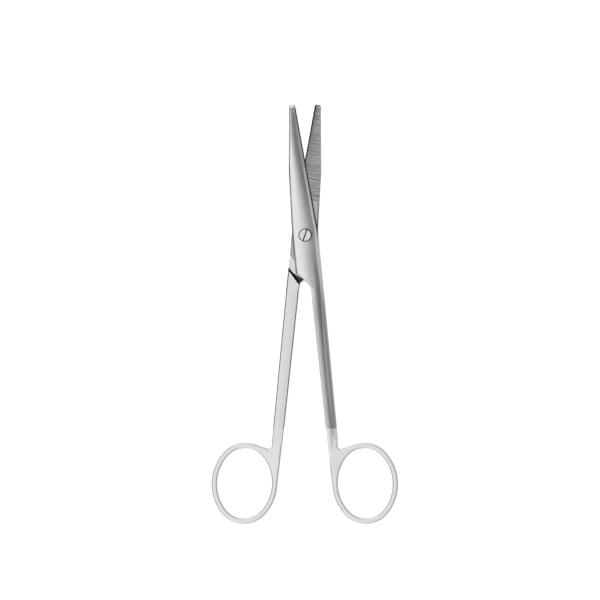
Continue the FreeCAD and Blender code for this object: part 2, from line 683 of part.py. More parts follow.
def chamfer_seat(body, plan, radius):
    """Breaks the upper edge of the counterbore."""
    base = body.Tip
    wall = value_of(plan, radius)
    seat = value_of(plan, HEAD_SEAT)

    def on_rim(edge):
        ends = edge.ParameterRange
        spots = [edge.valueAt(ends[0]), edge.valueAt(sum(ends) / 2), edge.valueAt(ends[1])]
        return edge.BoundBox.ZMin > seat and all(
            abs(math.hypot(spot.x, spot.y) - wall) < SAME_PLACE for spot in spots)

    chamfer = body.newObject("PartDesign::Chamfer", "seat_chamfer")
    chamfer.Base = (base, edges_where(base.Shape, on_rim))
    chamfer.setExpression("Size", "Sizes.head_chamfer * 1 mm")
    body.Document.recompute()


def front_arm(doc, forging):
    """The half on top. Its hole turns freely on the screw, and its counterbore takes the head."""
    body = half(doc, "front_arm", forging)
    drill(body, "screw_hole", "Sizes.shaft_radius + Sizes.screw_fit", ABOVE, ABOVE)
    head = "Sizes.head_radius + Sizes.screw_fit"
    plan = drill(body, "counterbore", head, ABOVE, f"{ABOVE} - {HEAD_SEAT} + Sizes.screw_fit")
    chamfer_seat(body, plan, head)
    body.setExpression("Placement.Rotation.Angle", "Sizes.open_angle * 0.5 deg")
    return body


def rear_arm(doc, forging):
    """The half below: the same forging turned over, with the hole that the screw is driven into."""
    body = half(doc, "rear_arm", forging)
    drill(body, "screw_hole", "Sizes.shaft_radius", ABOVE, ABOVE)
    body.setExpression("Placement.Rotation.Axis.x", "sin(Sizes.open_angle * 0.25 deg)")
    body.setExpression("Placement.Rotation.Axis.y", "cos(Sizes.open_angle * 0.25 deg)")
    body.setExpression("Placement.Rotation.Axis.z", "0")
    body.setExpression("Placement.Rotation.Angle", "180 deg")
    return body


def pivot_screw(doc):
    """The slotted screw. It is driven into the rear half, and its end is ground flush there."""
    body = new_body(doc, "pivot_screw")
    profile = new_sketch(body, "screw_profile", "XZ_Plane")
    end = "(Sizes.head_sink / 2 - Sizes.box_thick)"
    break_edge = "Sizes.head_chamfer"
    add_polygon(profile, [
        ("0", end),
        (f"Sizes.shaft_radius - {break_edge}", end),
        ("Sizes.shaft_radius", f"{end} + {break_edge}"),
        ("Sizes.shaft_radius", HEAD_SEAT),
        ("Sizes.head_radius", HEAD_SEAT),
        ("Sizes.head_radius", f"{HEAD_TOP} - {break_edge}"),
        (f"Sizes.head_radius - {break_edge}", HEAD_TOP),
        ("0", HEAD_TOP),
    ])
    turned = body.newObject("PartDesign::Revolution", "turned_screw")
    turned.Profile = profile
    turned.ReferenceAxis = (profile, ["V_Axis"])
    turned.Angle = 360
    doc.recompute()
    slot = new_sketch(body, "slot_plan", height=HEAD_TOP, turn="-Sizes.slot_turn")
    across = "Sizes.slot_width / 2"
    reach = "Sizes.head_radius * 1.2"
    add_polygon(slot, [
        (f"-{across}", f"-{reach}"),
        (across, f"-{reach}"),
        (across, reach),
        (f"-{across}", reach),
    ])
    pocket(body, "driver_slot", slot, "Sizes.slot_depth")
    return body


def stand_on_floor(doc, bodies):
    """Moves the whole instrument so that its box's lower middle lies at the origin."""
    box = FreeCAD.BoundBox()
    for body in bodies:
        box.add(body.Shape.optimalBoundingBox(False))
    shift = FreeCAD.Vector(-box.Center.x, -box.Center.y, -box.ZMin)
    for body in bodies:
        body.Placement.Base = shift
    doc.recompute()
    return shift


def check(doc, bodies):
    for item in doc.Objects:
        if "Invalid" in item.State or "Error" in item.State:
            raise RuntimeError(f"{item.Name} failed: {item.getStatusString()}")
    for body in bodies:
        shape = body.Shape
        if shape.isNull() or not shape.isValid() or len(shape.Solids) != 1:
            raise RuntimeError(f"{body.Label} is not one sound solid")


def main():
    doc = FreeCAD.newDocument("dissecting_scissors")
    fill_sheet(doc)
    forging = forge(doc)
    bodies = [front_arm(doc, forging), rear_arm(doc, forging), pivot_screw(doc)]
    doc.recompute()
    shift = stand_on_floor(doc, bodies)
    check(doc, bodies)
    os.makedirs("parts", exist_ok=True)
    for body in bodies:
        body.Shape.exportStep(f"parts/{body.Label}.step")
        print(body.Label, "volume", round(body.Shape.Volume, 1), "mm3")
    print("screw axis at", [round(value, 3) for value in shift])


main()
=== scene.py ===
# %% [markdown]
# # Surgical scissors
# Straight dissecting scissors lie slightly open on a pale table, seen from
# straight above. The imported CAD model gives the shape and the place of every
# part. This script adds what the model can't hold: smooth polished curves,
# the grain of ground steel, and the light of a photographer's studio.

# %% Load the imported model
import json
import math

import bpy
import numpy as np
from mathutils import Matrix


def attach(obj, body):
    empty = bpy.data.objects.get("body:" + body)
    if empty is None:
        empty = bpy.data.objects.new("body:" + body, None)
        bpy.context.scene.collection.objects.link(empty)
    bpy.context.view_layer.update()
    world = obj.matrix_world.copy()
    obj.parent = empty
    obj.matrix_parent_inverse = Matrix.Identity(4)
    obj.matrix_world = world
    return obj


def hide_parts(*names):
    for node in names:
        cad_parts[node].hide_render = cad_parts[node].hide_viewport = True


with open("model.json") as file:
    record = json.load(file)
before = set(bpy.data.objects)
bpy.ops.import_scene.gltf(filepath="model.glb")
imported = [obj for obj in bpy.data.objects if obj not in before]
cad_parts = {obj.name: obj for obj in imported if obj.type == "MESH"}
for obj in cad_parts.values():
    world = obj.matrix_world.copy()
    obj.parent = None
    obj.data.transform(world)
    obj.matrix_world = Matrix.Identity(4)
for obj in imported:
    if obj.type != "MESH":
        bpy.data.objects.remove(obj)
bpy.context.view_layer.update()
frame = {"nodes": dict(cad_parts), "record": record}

MM = 0.001

# %% [markdown]
# ## Camera
# The picture was taken from straight above with a long lens, so nothing
# leans. A camera two metres up with a long lens gives the same flat view and
# still works from other sides.

# %% Camera
VIEW_WIDTH = 241.6 * MM
VIEW_CENTRE = (-2.0 * MM, 5.83 * MM)
CAMERA_HEIGHT = 2.0
SENSOR = 36.0

camera_data = bpy.data.cameras.new("camera")
camera_data.sensor_width = SENSOR
camera_data.lens = SENSOR * CAMERA_HEIGHT / VIEW_WIDTH
camera_data.clip_end = 10.0
camera = bpy.data.objects.new("camera", camera_data)
camera.location = (*VIEW_CENTRE, CAMERA_HEIGHT)
bpy.context.scene.collection.objects.link(camera)
bpy.context.scene.camera = camera
print("lens", round(camera_data.lens, 1), "mm")

# %% [markdown]
# ## Helpers for node trees
# Every material and every Geometry Nodes tree is built from the same few
# moves: add a node, fill in its values, and join its sockets.

# %% Helpers for node trees
def add(tree, kind, **values):
    """Adds a node and sets the properties that are named."""
    node = tree.nodes.new(kind)
    for name, value in values.items():
        setattr(node, name, value)
    return node


def join(tree, *links):
    """Joins output sockets to input sockets, or sets a plain value."""
    for source, target in links:
        if isinstance(source, bpy.types.NodeSocket):
            tree.links.new(source, target)
        else:
            target.default_value = source


def maths(tree, operation, first, second=None, third=None, clamp=False):
    """A Math node on sockets or plain numbers; gives its output socket."""
    node = add(tree, "ShaderNodeMath", operation=operation, use_clamp=clamp)
    for socket, value in zip(node.inputs, (first, second, third)):
        if value is not None:
            join(tree, (value, socket))
    return node.outputs[0]


def ramp(tree, value, stops):
    """A grey Color Ramp with (position, brightness) stops."""
    node = add(tree, "ShaderNodeValToRGB")
    node.color_ramp.interpolation = "B_SPLINE"
    elements = node.color_ramp.elements
    while len(elements) < len(stops):
        elements.new(0.5)
    for element, (position, level) in zip(elements, stops):
        element.position = position
        element.color = (level, level, level, 1.0)
    join(tree, (value, node.inputs["Fac"]))
    return node.outputs["Color"]

# %% [markdown]
# ## Studio light
# Polished steel has no colour of its own: it shows the room. In the picture
# the crowned faces go from bright on their left flank to dark on their right,
# so the room is a bright tent above and to the left with a dark gap at the
# right. The world shader paints that room by direction.

# %% World: a light tent with a dark gap
# Degrees from straight up, left to right, and the brightness there.
ROOM_LEFT_TO_RIGHT = [
    (-90, 0.15), (-62, 0.20), (-42, 0.60), (-22, 1.00), (-4, 0.98), (6, 0.78),
    (16, 0.52), (28, 0.27), (42, 0.19), (54, 0.26), (66, 0.48), (78, 0.60),
    (90, 0.60),
]

world = bpy.data.worlds.new("light_tent")
bpy.context.scene.world = world
world.use_nodes = True
tree = world.node_tree
tree.nodes.clear()
direction = add(tree, "ShaderNodeTexCoord")
axes = add(tree, "ShaderNodeSeparateXYZ")
side_angle = maths(tree, "ARCTAN2", axes.outputs["X"], axes.outputs["Z"])
turn = maths(tree, "MULTIPLY_ADD", side_angle, 1 / math.pi, 0.5)
tent = ramp(tree, turn, [
    (angle / 180 + 0.5, level) for angle, level in ROOM_LEFT_TO_RIGHT])
background = add(tree, "ShaderNodeBackground")
world_out = add(tree, "ShaderNodeOutputWorld")
join(tree,
     (direction.outputs["Generated"], axes.inputs[0]),
     (tent, background.inputs["Color"]),
     (1.0, background.inputs["Strength"]),
     (background.outputs[0], world_out.inputs["Surface"]))
print("light tent of", len(ROOM_LEFT_TO_RIGHT), "levels")

# %% [markdown]
# ## Table
# The table is a wide pale sheet. Its colour carries the white background: to
# the camera and in reflections it also glows a little, and the light that
# falls on it adds the rest, so the scissors keep a faint shadow.

# %% Table
TABLE_HALF = 1.5
TABLE_DROP = 0.00002
PAINT = (0.8, 0.8, 0.8, 1.0)
GLOW = 0.72


def table_material():
    """White paint that also glows towards the camera and in reflections."""
    material = bpy.data.materials.new("pale_table")
    material.use_nodes = True
    tree = material.node_tree
    tree.nodes.clear()
    rays = add(tree, "ShaderNodeLightPath")
    seen = maths(tree, "MAXIMUM", rays.outputs["Is Camera Ray"],
                 maths(tree, "MAXIMUM", rays.outputs["Is Glossy Ray"],
                       rays.outputs["Is Transmission Ray"]))
    paint = add(tree, "ShaderNodeBsdfDiffuse")
    glow = add(tree, "ShaderNodeEmission")
    both = add(tree, "ShaderNodeAddShader")
    out = add(tree, "ShaderNodeOutputMaterial")
    join(tree,
         (PAINT, paint.inputs["Color"]),
         (maths(tree, "MULTIPLY", seen, GLOW), glow.inputs["Strength"]),
         (paint.outputs[0], both.inputs[0]),
         (glow.outputs[0], both.inputs[1]),
         (both.outputs[0], out.inputs["Surface"]))
    return material


mesh = bpy.data.meshes.new("table")
mesh.from_pydata(
    [(x * TABLE_HALF, y * TABLE_HALF, -TABLE_DROP)
     for x, y in ((-1, -1), (1, -1), (1, 1), (-1, 1))], [], [(0, 1, 2, 3)])
table = bpy.data.objects.new("table", mesh)
bpy.context.scene.collection.objects.link(table)
mesh.materials.append(table_material())
print("table", 2 * TABLE_HALF, "m wide")

# %% [markdown]
# ## Where the faces lie
# Both halves are ground from the same forging, and the model turns one of
# them over. It is easiest to say where a face lies in the forging's own
# frame, with the screw at the middle, the blade along +Y and the flat inner
# face at Z = 0. These helpers go there and back for each half.

# %% The forging's frame
SCREW = np.array(frame["record"]["behaviour"]["joints"][0]["pos_m"])
OPEN_ANGLE = -frame["record"]["behaviour"]["joints"][0]["range_deg"][0]
HALF_OPEN = math.radians(OPEN_ANGLE / 2)
FLIP_AXIS = np.array([math.sin(HALF_OPEN / 2), math.cos(HALF_OPEN / 2), 0.0])


def turned(vectors, angle):
    """Vectors turned about the screw's axis."""
    x, y, z = np.asarray(vectors, dtype=float).T
    c, s = math.cos(angle), math.sin(angle)
    return np.array([c * x - s * y, s * x + c * y, z]).T


def flipped(vectors):
    """Vectors turned over about the axis between the two halves."""
    vectors = np.asarray(vectors, dtype=float)
    return 2 * np.outer(vectors @ FLIP_AXIS, FLIP_AXIS) - vectors


def to_forging(arm, vectors):
    """From the scissors' frame at the screw to the forging's."""
    return turned(vectors, -HALF_OPEN) if arm == "front" else flipped(vectors)


def from_forging(arm, vectors):
    """From the forging's frame to the scissors' frame at the screw."""
    return turned(vectors, HALF_OPEN) if arm == "front" else flipped(vectors)


print("screw at", SCREW, "half open by", OPEN_ANGLE, "degrees")

# %% [markdown]
# ## Grit and edges
# Each face of the steel was finished by a belt or a wheel, and the grit
# leaves fine lines. One shader group makes such lines: noise stretched along
# the way the grit ran. The lines change the colour, the roughness and the
# height a little, and each material sets its own direction and depth.

# %% Shader group: grit lines
def new_group(name, inputs, outputs):
    """An empty shader group with named sockets, and its two end nodes."""
    tree = bpy.data.node_groups.new(name, "ShaderNodeTree")
    for label, kind in inputs:
        tree.interface.new_socket(label, in_out="INPUT", socket_type=kind)
    for label in outputs:
        tree.interface.new_socket(label, in_out="OUTPUT",
                                  socket_type="NodeSocketFloat")
    return tree, add(tree, "NodeGroupInput"), add(tree, "NodeGroupOutput")


def grit_group():
    """Noise drawn out into lines: shade, roughness and height."""
    tree, given, result = new_group(
        "grit_lines",
        [("Stretch", "NodeSocketVector"), ("Turn", "NodeSocketVector"),
         ("Contrast", "NodeSocketFloat"), ("Roughness", "NodeSocketFloat"),
         ("Roughness Change", "NodeSocketFloat")],
        ["Shade", "Roughness", "Height"])
    place = add(tree, "ShaderNodeTexCoord")
    spun = add(tree, "ShaderNodeMapping", vector_type="POINT")
    stretched = add(tree, "ShaderNodeVectorMath", operation="MULTIPLY")
    noise = add(tree, "ShaderNodeTexNoise", noise_dimensions="3D")
    join(tree,
         (place.outputs["Object"], spun.inputs["Vector"]),
         (given.outputs["Turn"], spun.inputs["Rotation"]),
         (spun.outputs[0], stretched.inputs[0]),
         (given.outputs["Stretch"], stretched.inputs[1]),
         (stretched.outputs[0], noise.inputs["Vector"]),
         (1.0, noise.inputs["Scale"]),
         (3.0, noise.inputs["Detail"]),
         (0.6, noise.inputs["Roughness"]))
    centred = maths(tree, "SUBTRACT", noise.outputs["Fac"], 0.5)
    shade = maths(tree, "MULTIPLY_ADD", centred,
                  given.outputs["Contrast"], 1.0)
    rough = maths(tree, "MULTIPLY_ADD", centred,
                  given.outputs["Roughness Change"],
                  given.outputs["Roughness"])
    join(tree,
         (shade, result.inputs["Shade"]),
         (rough, result.inputs["Roughness"]),
         (noise.outputs["Fac"], result.inputs["Height"]))
    return tree


GRIT = grit_group()
print("group", GRIT.name)

# %% [markdown]
# Where two ground faces meet, the steel shows a dark line: the very edge
# leans away and reflects the dark side of the room, and that dark reflection
# is painted into the colour. The plating of the rings also ends in a line.
# Both are half planes seen from above, so a second group measures how far a
# point lies past a line, from 0 on it to 1 a width beyond.

# %% Shader group: past a line
def line_group():
    """A mask that rises from 0 to 1 across a line seen from above."""
    tree, given, result = new_group(
        "past_line",
        [("Point", "NodeSocketVector"), ("Across", "NodeSocketVector"),
         ("Width", "NodeSocketFloat")],
        ["Mask"])
    place = add(tree, "ShaderNodeTexCoord")
    offset = add(tree, "ShaderNodeVectorMath", operation="SUBTRACT")
    reach = add(tree, "ShaderNodeVectorMath", operation="DOT_PRODUCT")
    join(tree,
         (place.outputs["Object"], offset.inputs[0]),
         (given.outputs["Point"], offset.inputs[1]),
         (offset.outputs[0], reach.inputs[0]),
         (given.outputs["Across"], reach.inputs[1]),
         (maths(tree, "DIVIDE", reach.outputs["Value"],
                given.outputs["Width"], clamp=True), result.inputs["Mask"]))
    return tree


PAST_LINE = line_group()
print("group", PAST_LINE.name)


def past_line(tree, point, across, width):
    """Places the group in a material; gives its mask."""
    node = add(tree, "ShaderNodeGroup", node_tree=PAST_LINE)
    join(tree,
         (tuple(point), node.inputs["Point"]),
         (tuple(across), node.inputs["Across"]),
         (width, node.inputs["Width"]))
    return node.outputs["Mask"]

# %% [markdown]
# The outline of a half, in the forging's frame, gives those lines. Its
# corners are the same sizes that the model is built from, in millimetres. A
# mark is painted shade, a list of half planes with a darkness: it shows only
# beyond all of them, and a negative darkness paints a highlight.

# %% Outline of a half
TIP, EDGE_START = (1.3, 52.8), (5.3, 2.0)
BOX_END, NOTCH = (5.3, -26.0), (4.9, -86.0)
BACK_SIDE = [(-5.15, -14.0), (-5.15, 0.0), (-3.95, 26.0), (-1.1, 52.8)]
THROAT, RING_TOUCH, SHOULDER = (0.1, -20.6), (0.56, -103.0), (5.3, -14.7)
UP, DOWN = (0.0, 1.0, 0.0), (0.0, -1.0, 0.0)
PLATING_END = -45.8 * MM
ABOVE_PLATING = ((0.0, PLATING_END, 0.0), UP, 0.1 * MM)
BELOW_PLATING = ((0.0, PLATING_END, 0.0), DOWN, 0.1 * MM)
SOFT = 0.5


def half_plane(arm, point, across, width):
    """A half plane given in the forging's frame, in millimetres."""
    return (from_forging(arm, [np.array(point) * MM])[0] + SCREW,
            from_forging(arm, [across])[0], width * MM)


def above(arm, height, width):
    """The half plane above a place along the arm."""
    return half_plane(arm, (0.0, height, 0.0), UP, width)


def below(arm, height, width):
    """The half plane below a place along the arm."""
    return half_plane(arm, (0.0, height, 0.0), DOWN, width)


def along_side(arm, start, stop, width):
    """The half plane beyond a line `width` inside a side of the outline.
    The metal is on the right of the way from start to stop."""
    (x0, y0), (x1, y1) = start, stop
    length = math.hypot(x1 - x0, y1 - y0)
    across = np.array([(y0 - y1) / length, (x1 - x0) / length, 0.0])
    return half_plane(arm, np.array([x0, y0, 0.0]) - across * width,
                      across, width * SOFT)


def strip(arm, start, stop, inner, outer):
    """The two half planes of a strip that runs beside a side."""
    point, across, width = along_side(arm, start, stop, outer)
    return [along_side(arm, start, stop, inner), (point, -across, width)]


print("the plating starts at", round(PLATING_END / MM, 1), "mm")

# %% [markdown]
# Every kind of face has its own painted light and shade. Edges get a painted
# dark line, for the dark reflection of an edge broken by a tenth of a
# millimetre, which is too fine to model. The crown of the shank is painted
# darker than the box, and the blade gets a painted highlight on its ridge.

# %% Marks of each face
# Places along the arm, then widths of lines, all in millimetres.
PAST_TIP, FACET_START = 60.0, 51.3
RING_START, THROAT_START = -85.0, -20.3
EDGE_LINE = 0.75
BACK_LINES = (0.85, 0.85, 0.6)
SIDE_LINE, SHOULDER_LINE = 0.5, 0.45


def edge_shade_marks(arm, top=PAST_TIP):
    """A painted dark line of shade and dark reflection along the cutting
    edge, up to a place on the blade.
    """
    return [([along_side(arm, TIP, EDGE_START, EDGE_LINE),
              above(arm, RING_START, 1.0), below(arm, top, 0.3)], 0.93)]


def back_shade_marks(arm):
    """A painted darker line, for a dark reflection, along the back of the
    blade and the box.
    """
    return [([along_side(arm, start, stop, width)], 0.5)
            for start, stop, width in zip(BACK_SIDE, BACK_SIDE[1:],
                                          BACK_LINES)]


def shank_shade_and_glint_marks(arm):
    """Painted dark lines, for dark reflections, along both sides of the
    shank's flat face, fainter on the plated end, and a painted highlight
    where the face ends at the shoulder."""
    limit = above(arm, RING_START, 1.0)
    sides = [[along_side(arm, EDGE_START, BOX_END, SIDE_LINE), limit],
             [along_side(arm, BOX_END, NOTCH, SIDE_LINE), limit],
             [along_side(arm, RING_TOUCH, THROAT, SIDE_LINE),
              below(arm, THROAT_START, 0.2)]]
    # The negative darkness here paints the highlight at the shoulder.
    return [([along_side(arm, THROAT, SHOULDER, SHOULDER_LINE)], -0.28),
            *[(side, 0.4) for side in sides],
            *[(side + [ABOVE_PLATING], 0.58) for side in sides]]


def crown_shade_and_highlight_marks(arm):
    """The shank's crown painted darker, a painted dark reflection band beside
    its bevel, a painted highlight on the blade's ridge and a painted dark
    line of shade under the tip's facet."""
    # Painted light and shade: a darker crown on the shank, a dark band, a
    # bright ridge and a dark line under the facet.
    painted_dark_crown = [below(arm, -18.0, 12.0), ABOVE_PLATING]
    band = [*strip(arm, BOX_END, NOTCH, 1.6, 0.6), ABOVE_PLATING,
            below(arm, -20.0, 12.0)]
    ridge = [*strip(arm, *BACK_SIDE[-2:], 1.5, 0.55),
             above(arm, 28.0, 16.0), below(arm, 50.9, 0.3)]
    facet_line = [above(arm, 50.7, 0.3), below(arm, 51.2, 0.3)]
    return [(painted_dark_crown, 0.26), (band, 0.55), (ridge, -0.45), (facet_line, 0.5)]


print("marks on a crown:", len(crown_shade_and_highlight_marks("front")))

# %% [markdown]
# ## Steel
# One function mixes every steel of the instrument: a grey metal with grit
# lines in its colour, roughness and height, painted shade in dark lines where
# its edges run, other painted shade and highlights, and a brighter plated end
# for the rings and shanks.

# %% One function for every steel
GRIT_DEPTH = 0.00001
ROUGHNESS_CHANGE = 0.1
PLATED_ROUGHER = 0.24


def steel(name, colour, roughness, stretch, turn=0.0, contrast=0.1,
          plated=None, marks=()):
    """A ground steel. `plated` is its brightness beyond the plating's line."""
    material = bpy.data.materials.new(name)
    material.use_nodes = True
    tree = material.node_tree
    shader = tree.nodes["Principled BSDF"]
    grit = add(tree, "ShaderNodeGroup", node_tree=GRIT)
    join(tree,
         (stretch, grit.inputs["Stretch"]),
         ((0.0, 0.0, turn), grit.inputs["Turn"]),
         (contrast, grit.inputs["Contrast"]),
         (roughness, grit.inputs["Roughness"]),
         (ROUGHNESS_CHANGE, grit.inputs["Roughness Change"]))
    tint = add(tree, "ShaderNodeMix", data_type="RGBA", blend_type="MIX")
    level, rough = 0.0, grit.outputs["Roughness"]
    if plated is not None:
        level = past_line(tree, *BELOW_PLATING)
        rough = maths(tree, "MULTIPLY_ADD", level, PLATED_ROUGHER, rough)
    shade = grit.outputs["Shade"]
    # Each mark paints shade into the colour, or a highlight where its darkness
    # is negative.
    for planes, darkness in marks:
        mask = past_line(tree, *planes[0])
        for plane in planes[1:]:
            mask = maths(tree, "MULTIPLY", mask, past_line(tree, *plane))
        shade = maths(tree, "MULTIPLY", shade,
                      maths(tree, "MULTIPLY_ADD", mask, -darkness, 1.0))
    shaded = add(tree, "ShaderNodeVectorMath", operation="SCALE")
    bump = add(tree, "ShaderNodeBump")
    join(tree,
         (level, tint.inputs["Factor"]),
         ((colour, colour, colour, 1.0), tint.inputs["A"]),
         ((plated or colour,) * 3 + (1.0,), tint.inputs["B"]),
         (tint.outputs["Result"], shaded.inputs[0]),
         (shade, shaded.inputs["Scale"]),
         (shaded.outputs[0], shader.inputs["Base Color"]),
         (rough, shader.inputs["Roughness"]),
         (grit.outputs["Height"], bump.inputs["Height"]),
         (GRIT_DEPTH, bump.inputs["Distance"]),
         (1.0, bump.inputs["Strength"]),
         (bump.outputs[0], shader.inputs["Normal"]),
         (1.0, shader.inputs["Metallic"]))
    return material


print("steel roughens by", PLATED_ROUGHER, "where it is plated")

# %% [markdown]
# Each half gets five finishes: satin crown, coarsely ground blade, lap, the
# strip sunk beside the shoulder, and the shank's flat face. The grit ran
# along the arm on the outside and across it on the inside. The screw's head
# is turned, so its grit shows no direction, and painted shade darkens a strip
# along its slot.

# %% Steel materials
# Grit lines per metre, across the way the grit ran and along it.
ACROSS, ALONG = 9000.0, 250.0
# In the rear half a shadow fills the corner between shoulder and front half.
DARK_CORNER = ((-0.0008, 0.01440, 0.0), (-0.542, -0.840, 0.0), 0.0003)
SLOT_TURN = math.radians(19)
SLOT_SHADE_REACH, SLOT_SHADE_SOFT = 0.42 * MM, 0.2 * MM

MATERIALS = {}
for arm, sign in (("front", 1), ("rear", -1)):
    edge, back = edge_shade_marks(arm), back_shade_marks(arm)
    corner = [([DARK_CORNER], 0.94)] if arm == "rear" else []
    outside = {"stretch": (ACROSS, ALONG, ACROSS), "turn": -sign * HALF_OPEN}
    inside = {"stretch": (ALONG, ACROSS, ALONG), "turn": sign * HALF_OPEN}
    blade = {**inside, "stretch": (ALONG, ACROSS / 3, ALONG)}
    MATERIALS[arm] = [
        steel(f"{arm}_satin_steel", 0.80, 0.16, **outside, contrast=0.18,
              plated=0.96,
              marks=edge_shade_marks(arm, FACET_START) + back + crown_shade_and_highlight_marks(arm)),
        steel(f"{arm}_ground_steel", 0.40, 0.30, **blade, contrast=1.3,
              marks=edge),
        steel(f"{arm}_lap_steel", 0.50, 0.3, **inside, contrast=0.3,
              marks=edge + back),
        steel(f"{arm}_relief_steel", 0.85, 0.3, **inside, contrast=0.2,
              marks=corner),
        steel(f"{arm}_flat_steel", 0.80, 0.24, **outside, contrast=0.18,
              plated=1.0, marks=shank_shade_and_glint_marks(arm)),
    ]

# Nearly black steel, painted shade for the shoulder's wall, the screw's seat
# and its slot.
shaded_recess = steel("shaded_recess_steel", 0.05, 0.5, (ACROSS, ACROSS, ACROSS))
across_slot = np.array([math.cos(SLOT_TURN), -math.sin(SLOT_TURN), 0.0])
# Painted shade of the slot: a dark strip along it on the head.
slot_shade = [(SCREW - across_slot * SLOT_SHADE_REACH, across_slot, SLOT_SHADE_SOFT),
        (SCREW + across_slot * SLOT_SHADE_REACH, -across_slot, SLOT_SHADE_SOFT)]
turned_steel = steel("turned_steel", 0.8, 0.25, (ACROSS, ACROSS, ACROSS),
                     marks=[(slot_shade, 0.55)])
print(len(bpy.data.materials), "materials")

# %% [markdown]
# ## Smooth arms
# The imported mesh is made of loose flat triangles, and on polished steel every
# one of them would flash. A copy with its triangles joined is shaded smoothly
# across the curves, and stays sharp where the real edges are.

# %% Smooth copies of the CAD nodes
WELD_WITHIN = 0.000002
ARM_CORNER, SCREW_CORNER = 9, 20


def smooth_copy(node, name, sharp_from):
    """A joined, smoothly shaded copy of a CAD node's mesh."""
    mesh = frame["nodes"][node].data.copy()
    mesh.name = name
    mesh.attributes.remove(mesh.attributes["custom_normal"])
    piece = bpy.data.objects.new(name, mesh)
    bpy.context.scene.collection.objects.link(piece)
    weld = piece.modifiers.new("weld", "WELD")
    weld.merge_threshold = WELD_WITHIN
    graph = bpy.context.evaluated_depsgraph_get()
    welded = bpy.data.meshes.new_from_object(piece.evaluated_get(graph))
    piece.modifiers.clear()
    piece.data = welded
    welded.materials.clear()
    welded.polygons.foreach_set("use_smooth", [True] * len(welded.polygons))
    welded.set_sharp_from_angle(angle=math.radians(sharp_from))
    print(name, len(welded.polygons), "faces")
    return piece


front = smooth_copy("front_arm", "front_arm_steel", ARM_CORNER)
rear = smooth_copy("rear_arm", "rear_arm_steel", ARM_CORNER)
screw = smooth_copy("pivot_screw", "pivot_screw_steel", SCREW_CORNER)

# %% [markdown]
# ## A finish for each face
# A face gets its finish from where it lies and which way it looks. The inner
# face of the blade is ground coarsely across, the lap below it is finer, and
# beside the shoulder lies a sunk strip. The shoulder's wall and the screw's
# seat are painted nearly black for their shade, and the shank's flat face has
# its own painted lines. All the rest is satin.

# %% Finish by place
# Millimetres from the screw's axis and from the height of the lap.
HOLLOW_START, FLAT_END = 14.0, -86.0
LEVEL, SUNK_STRIP = 0.3, 0.2
BORE_RADIUS, BORE_TOP = 2.8, 2.2
SATIN, GROUND, LAP, RELIEF, FLAT, SHADED_RECESS = range(6)


def face_places(piece):
    """Centres, from the screw's axis, and normals of a piece's faces."""
    faces = piece.data.polygons
    centres = np.empty(len(faces) * 3)
    normals = np.empty(len(faces) * 3)
    faces.foreach_get("center", centres)
    faces.foreach_get("normal", normals)
    return centres.reshape(-1, 3) - SCREW, normals.reshape(-1, 3)


def finish_arm(piece, arm):
    """Gives each face of a half its finish, by its place in the forging."""
    centres, normals = face_places(piece)
    x, y, z = to_forging(arm, centres).T / MM
    nz = to_forging(arm, normals)[:, 2]
    # Level faces at the height of the lap, and the shank's face below it.
    inner = (nz < -0.9) & (z > -LEVEL)
    shank_flat = (nz < -0.5) & (z < -LEVEL) & (y > FLAT_END)
    # The leaning wall between the two.
    shoulder = ((nz > -0.75) & (nz < -0.2) & (z < -0.02)
                & (y > -24.0) & (y < -10.0) & (x > -0.5))
    bore = (np.hypot(x, y) < BORE_RADIUS) & (z < BORE_TOP)
    finish = np.full(len(x), SATIN)
    finish[inner] = LAP
    finish[inner & (z > SUNK_STRIP) & (y < HOLLOW_START)] = RELIEF
    finish[inner & (y > HOLLOW_START)] = GROUND
    finish[shank_flat] = FLAT
    # Painted shade on the shoulder's wall and in the bore.
    finish[shoulder | bore] = SHADED_RECESS
    for material in (*MATERIALS[arm], shaded_recess):
        piece.data.materials.append(material)
    piece.data.polygons.foreach_set("material_index", finish)
    print(arm, "faces by finish:", np.bincount(finish))


finish_arm(front, "front")
finish_arm(rear, "rear")

# %% [markdown]
# The screw's head is one bright disc. Only the slot and the wall in the seat
# are dark, because no light gets down there.

# %% Finish of the screw
# Millimetres from the height of the lap, then down from the head's top.
HEAD_TOP = 2.35
TOP_FACE, SLOT_DEPTH, WALL_TOP = 0.01, 0.6, 0.3
# Radii that the slot stays inside and the wall lies outside of.
SLOT_REACH, HEAD_WALL = 2.45, 2.4

centres, _ = face_places(screw)
x, y, z = centres.T / MM
radius = np.hypot(x, y)
depth = HEAD_TOP - z
slot = (depth > TOP_FACE) & (depth < SLOT_DEPTH) & (radius < SLOT_REACH)
wall = (depth > WALL_TOP) & (radius > HEAD_WALL)
screw.data.materials.append(turned_steel)
screw.data.materials.append(shaded_recess)
screw.data.polygons.foreach_set("material_index", (slot | wall).astype(int))
print("screw: dark faces", int((slot | wall).sum()))

# %% [markdown]
# ## Grind lines
# The wheel that ground the inner faces left single coarse lines among the
# fine ones. Each is a low ridge across the blade, and they follow the hollow
# of the face, so Geometry Nodes lays them: a row of points up the blade, a
# short line on each point, every line dropped onto the steel by a ray, and a
# slender six-sided profile swept along it, sunk so that only its back shows.

# %% Geometry Nodes: grind lines
LINE_HALF = 0.0062
LINE_STEPS = 18
LINE_SIDES = 6
# Share of its radius by which the middle of a line lies inside the steel.
SUNK = 0.75
# Shares by which place, slant and thickness of a line vary.
PLACE_VARIES, SLANT_VARIES, THICK_VARIES = (-0.5, 0.5), (0.4, 1.2), (0.35, 1.0)


